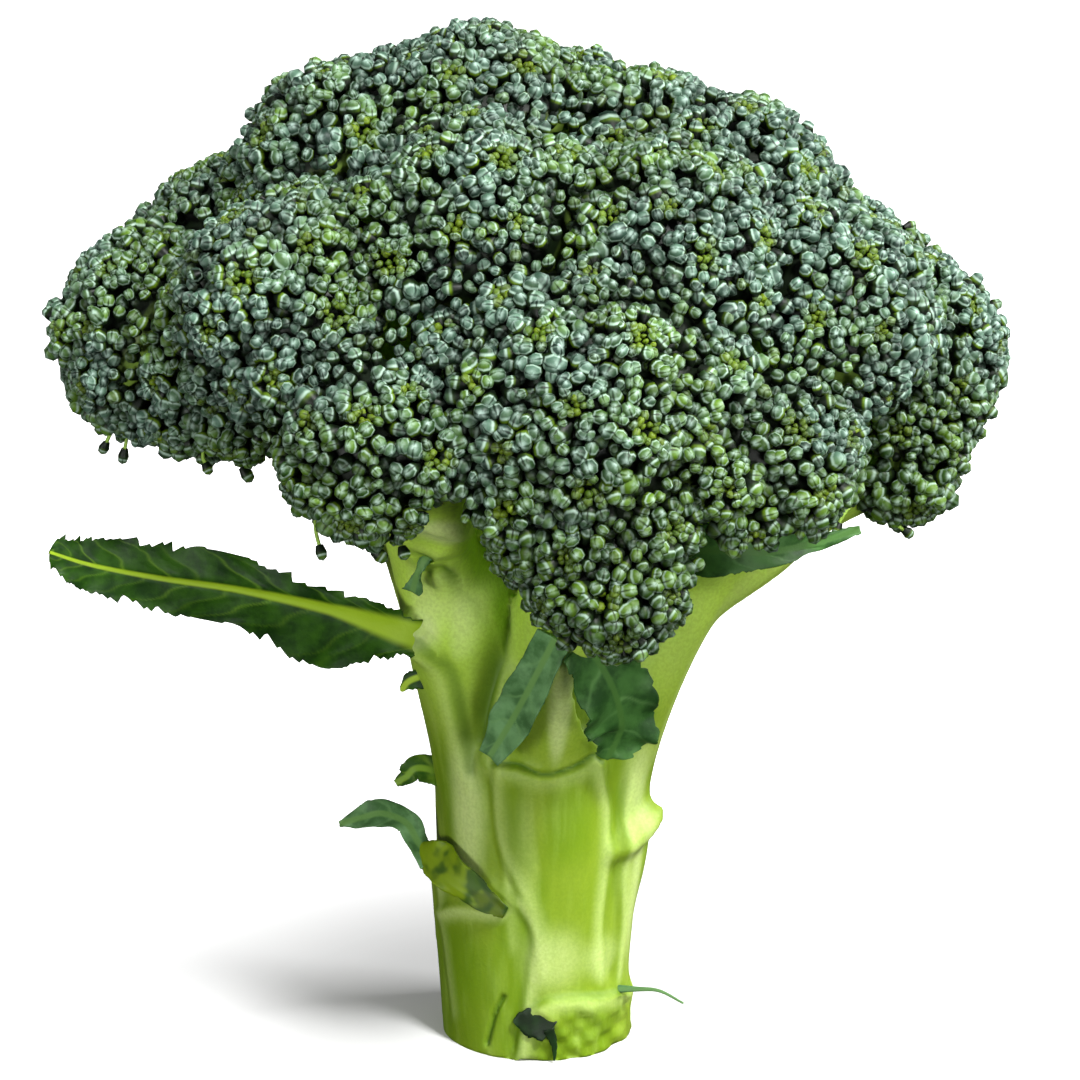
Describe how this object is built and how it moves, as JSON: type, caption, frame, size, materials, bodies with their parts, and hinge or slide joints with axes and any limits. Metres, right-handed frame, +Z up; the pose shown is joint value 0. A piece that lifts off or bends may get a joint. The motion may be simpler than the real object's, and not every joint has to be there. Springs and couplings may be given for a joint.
{
  "type": "broccoli head",
  "caption": "Fresh broccoli head standing on its cut stem: pale forked stalk, dense domed crown of green florets and a few leftover leaves.",
  "frame": {"origin": "middle of the stalk's flat cut face", "axes": "+Z up along the stalk; -Y the side that shows the broad face of the long leaf; +X to the right seen from that side"},
  "size_m": [0.1464, 0.1262, 0.1599],
  "materials": {
    "crown": "matte blue-green buds with a waxy bloom",
    "stalk": "pale yellow-green, semi-matte, with a faint waxy bloom",
    "leaf": "dark green, satin, with pale veins"
  },
  "bodies": {
    "root": {"floret_top": "crown", "floret_top_left": "crown", "floret_top_right": "crown", "floret_top_back": "crown", "floret_top_back_left": "crown", "floret_top_back_right": "crown", "floret_upper_left": "crown", "floret_upper_right": "crown", "floret_shoulder_left": "crown", "floret_shoulder_right": "crown", "floret_left": "crown", "floret_left_front": "crown", "floret_left_under": "crown", "floret_low_left": "crown", "floret_front": "crown", "floret_lowest": "crown", "floret_low_right": "crown", "floret_right_front": "crown", "floret_right": "crown", "floret_right_under": "crown", "floret_back_right": "crown", "floret_back_mid_right": "crown", "floret_back": "crown", "floret_back_mid_left": "crown", "floret_back_left": "crown", "floret_back_low_left": "crown", "floret_back_low_right": "crown", "leaf_long": "leaf", "leaf_front_left": "leaf", "leaf_front_right": "leaf", "leaf_curl": "leaf", "leaf_torn_left": "leaf", "leaf_right": "leaf", "leaf_torn_upper": "leaf", "leaf_shred": "leaf", "stalk": "stalk"}
  },
  "joints": []
}
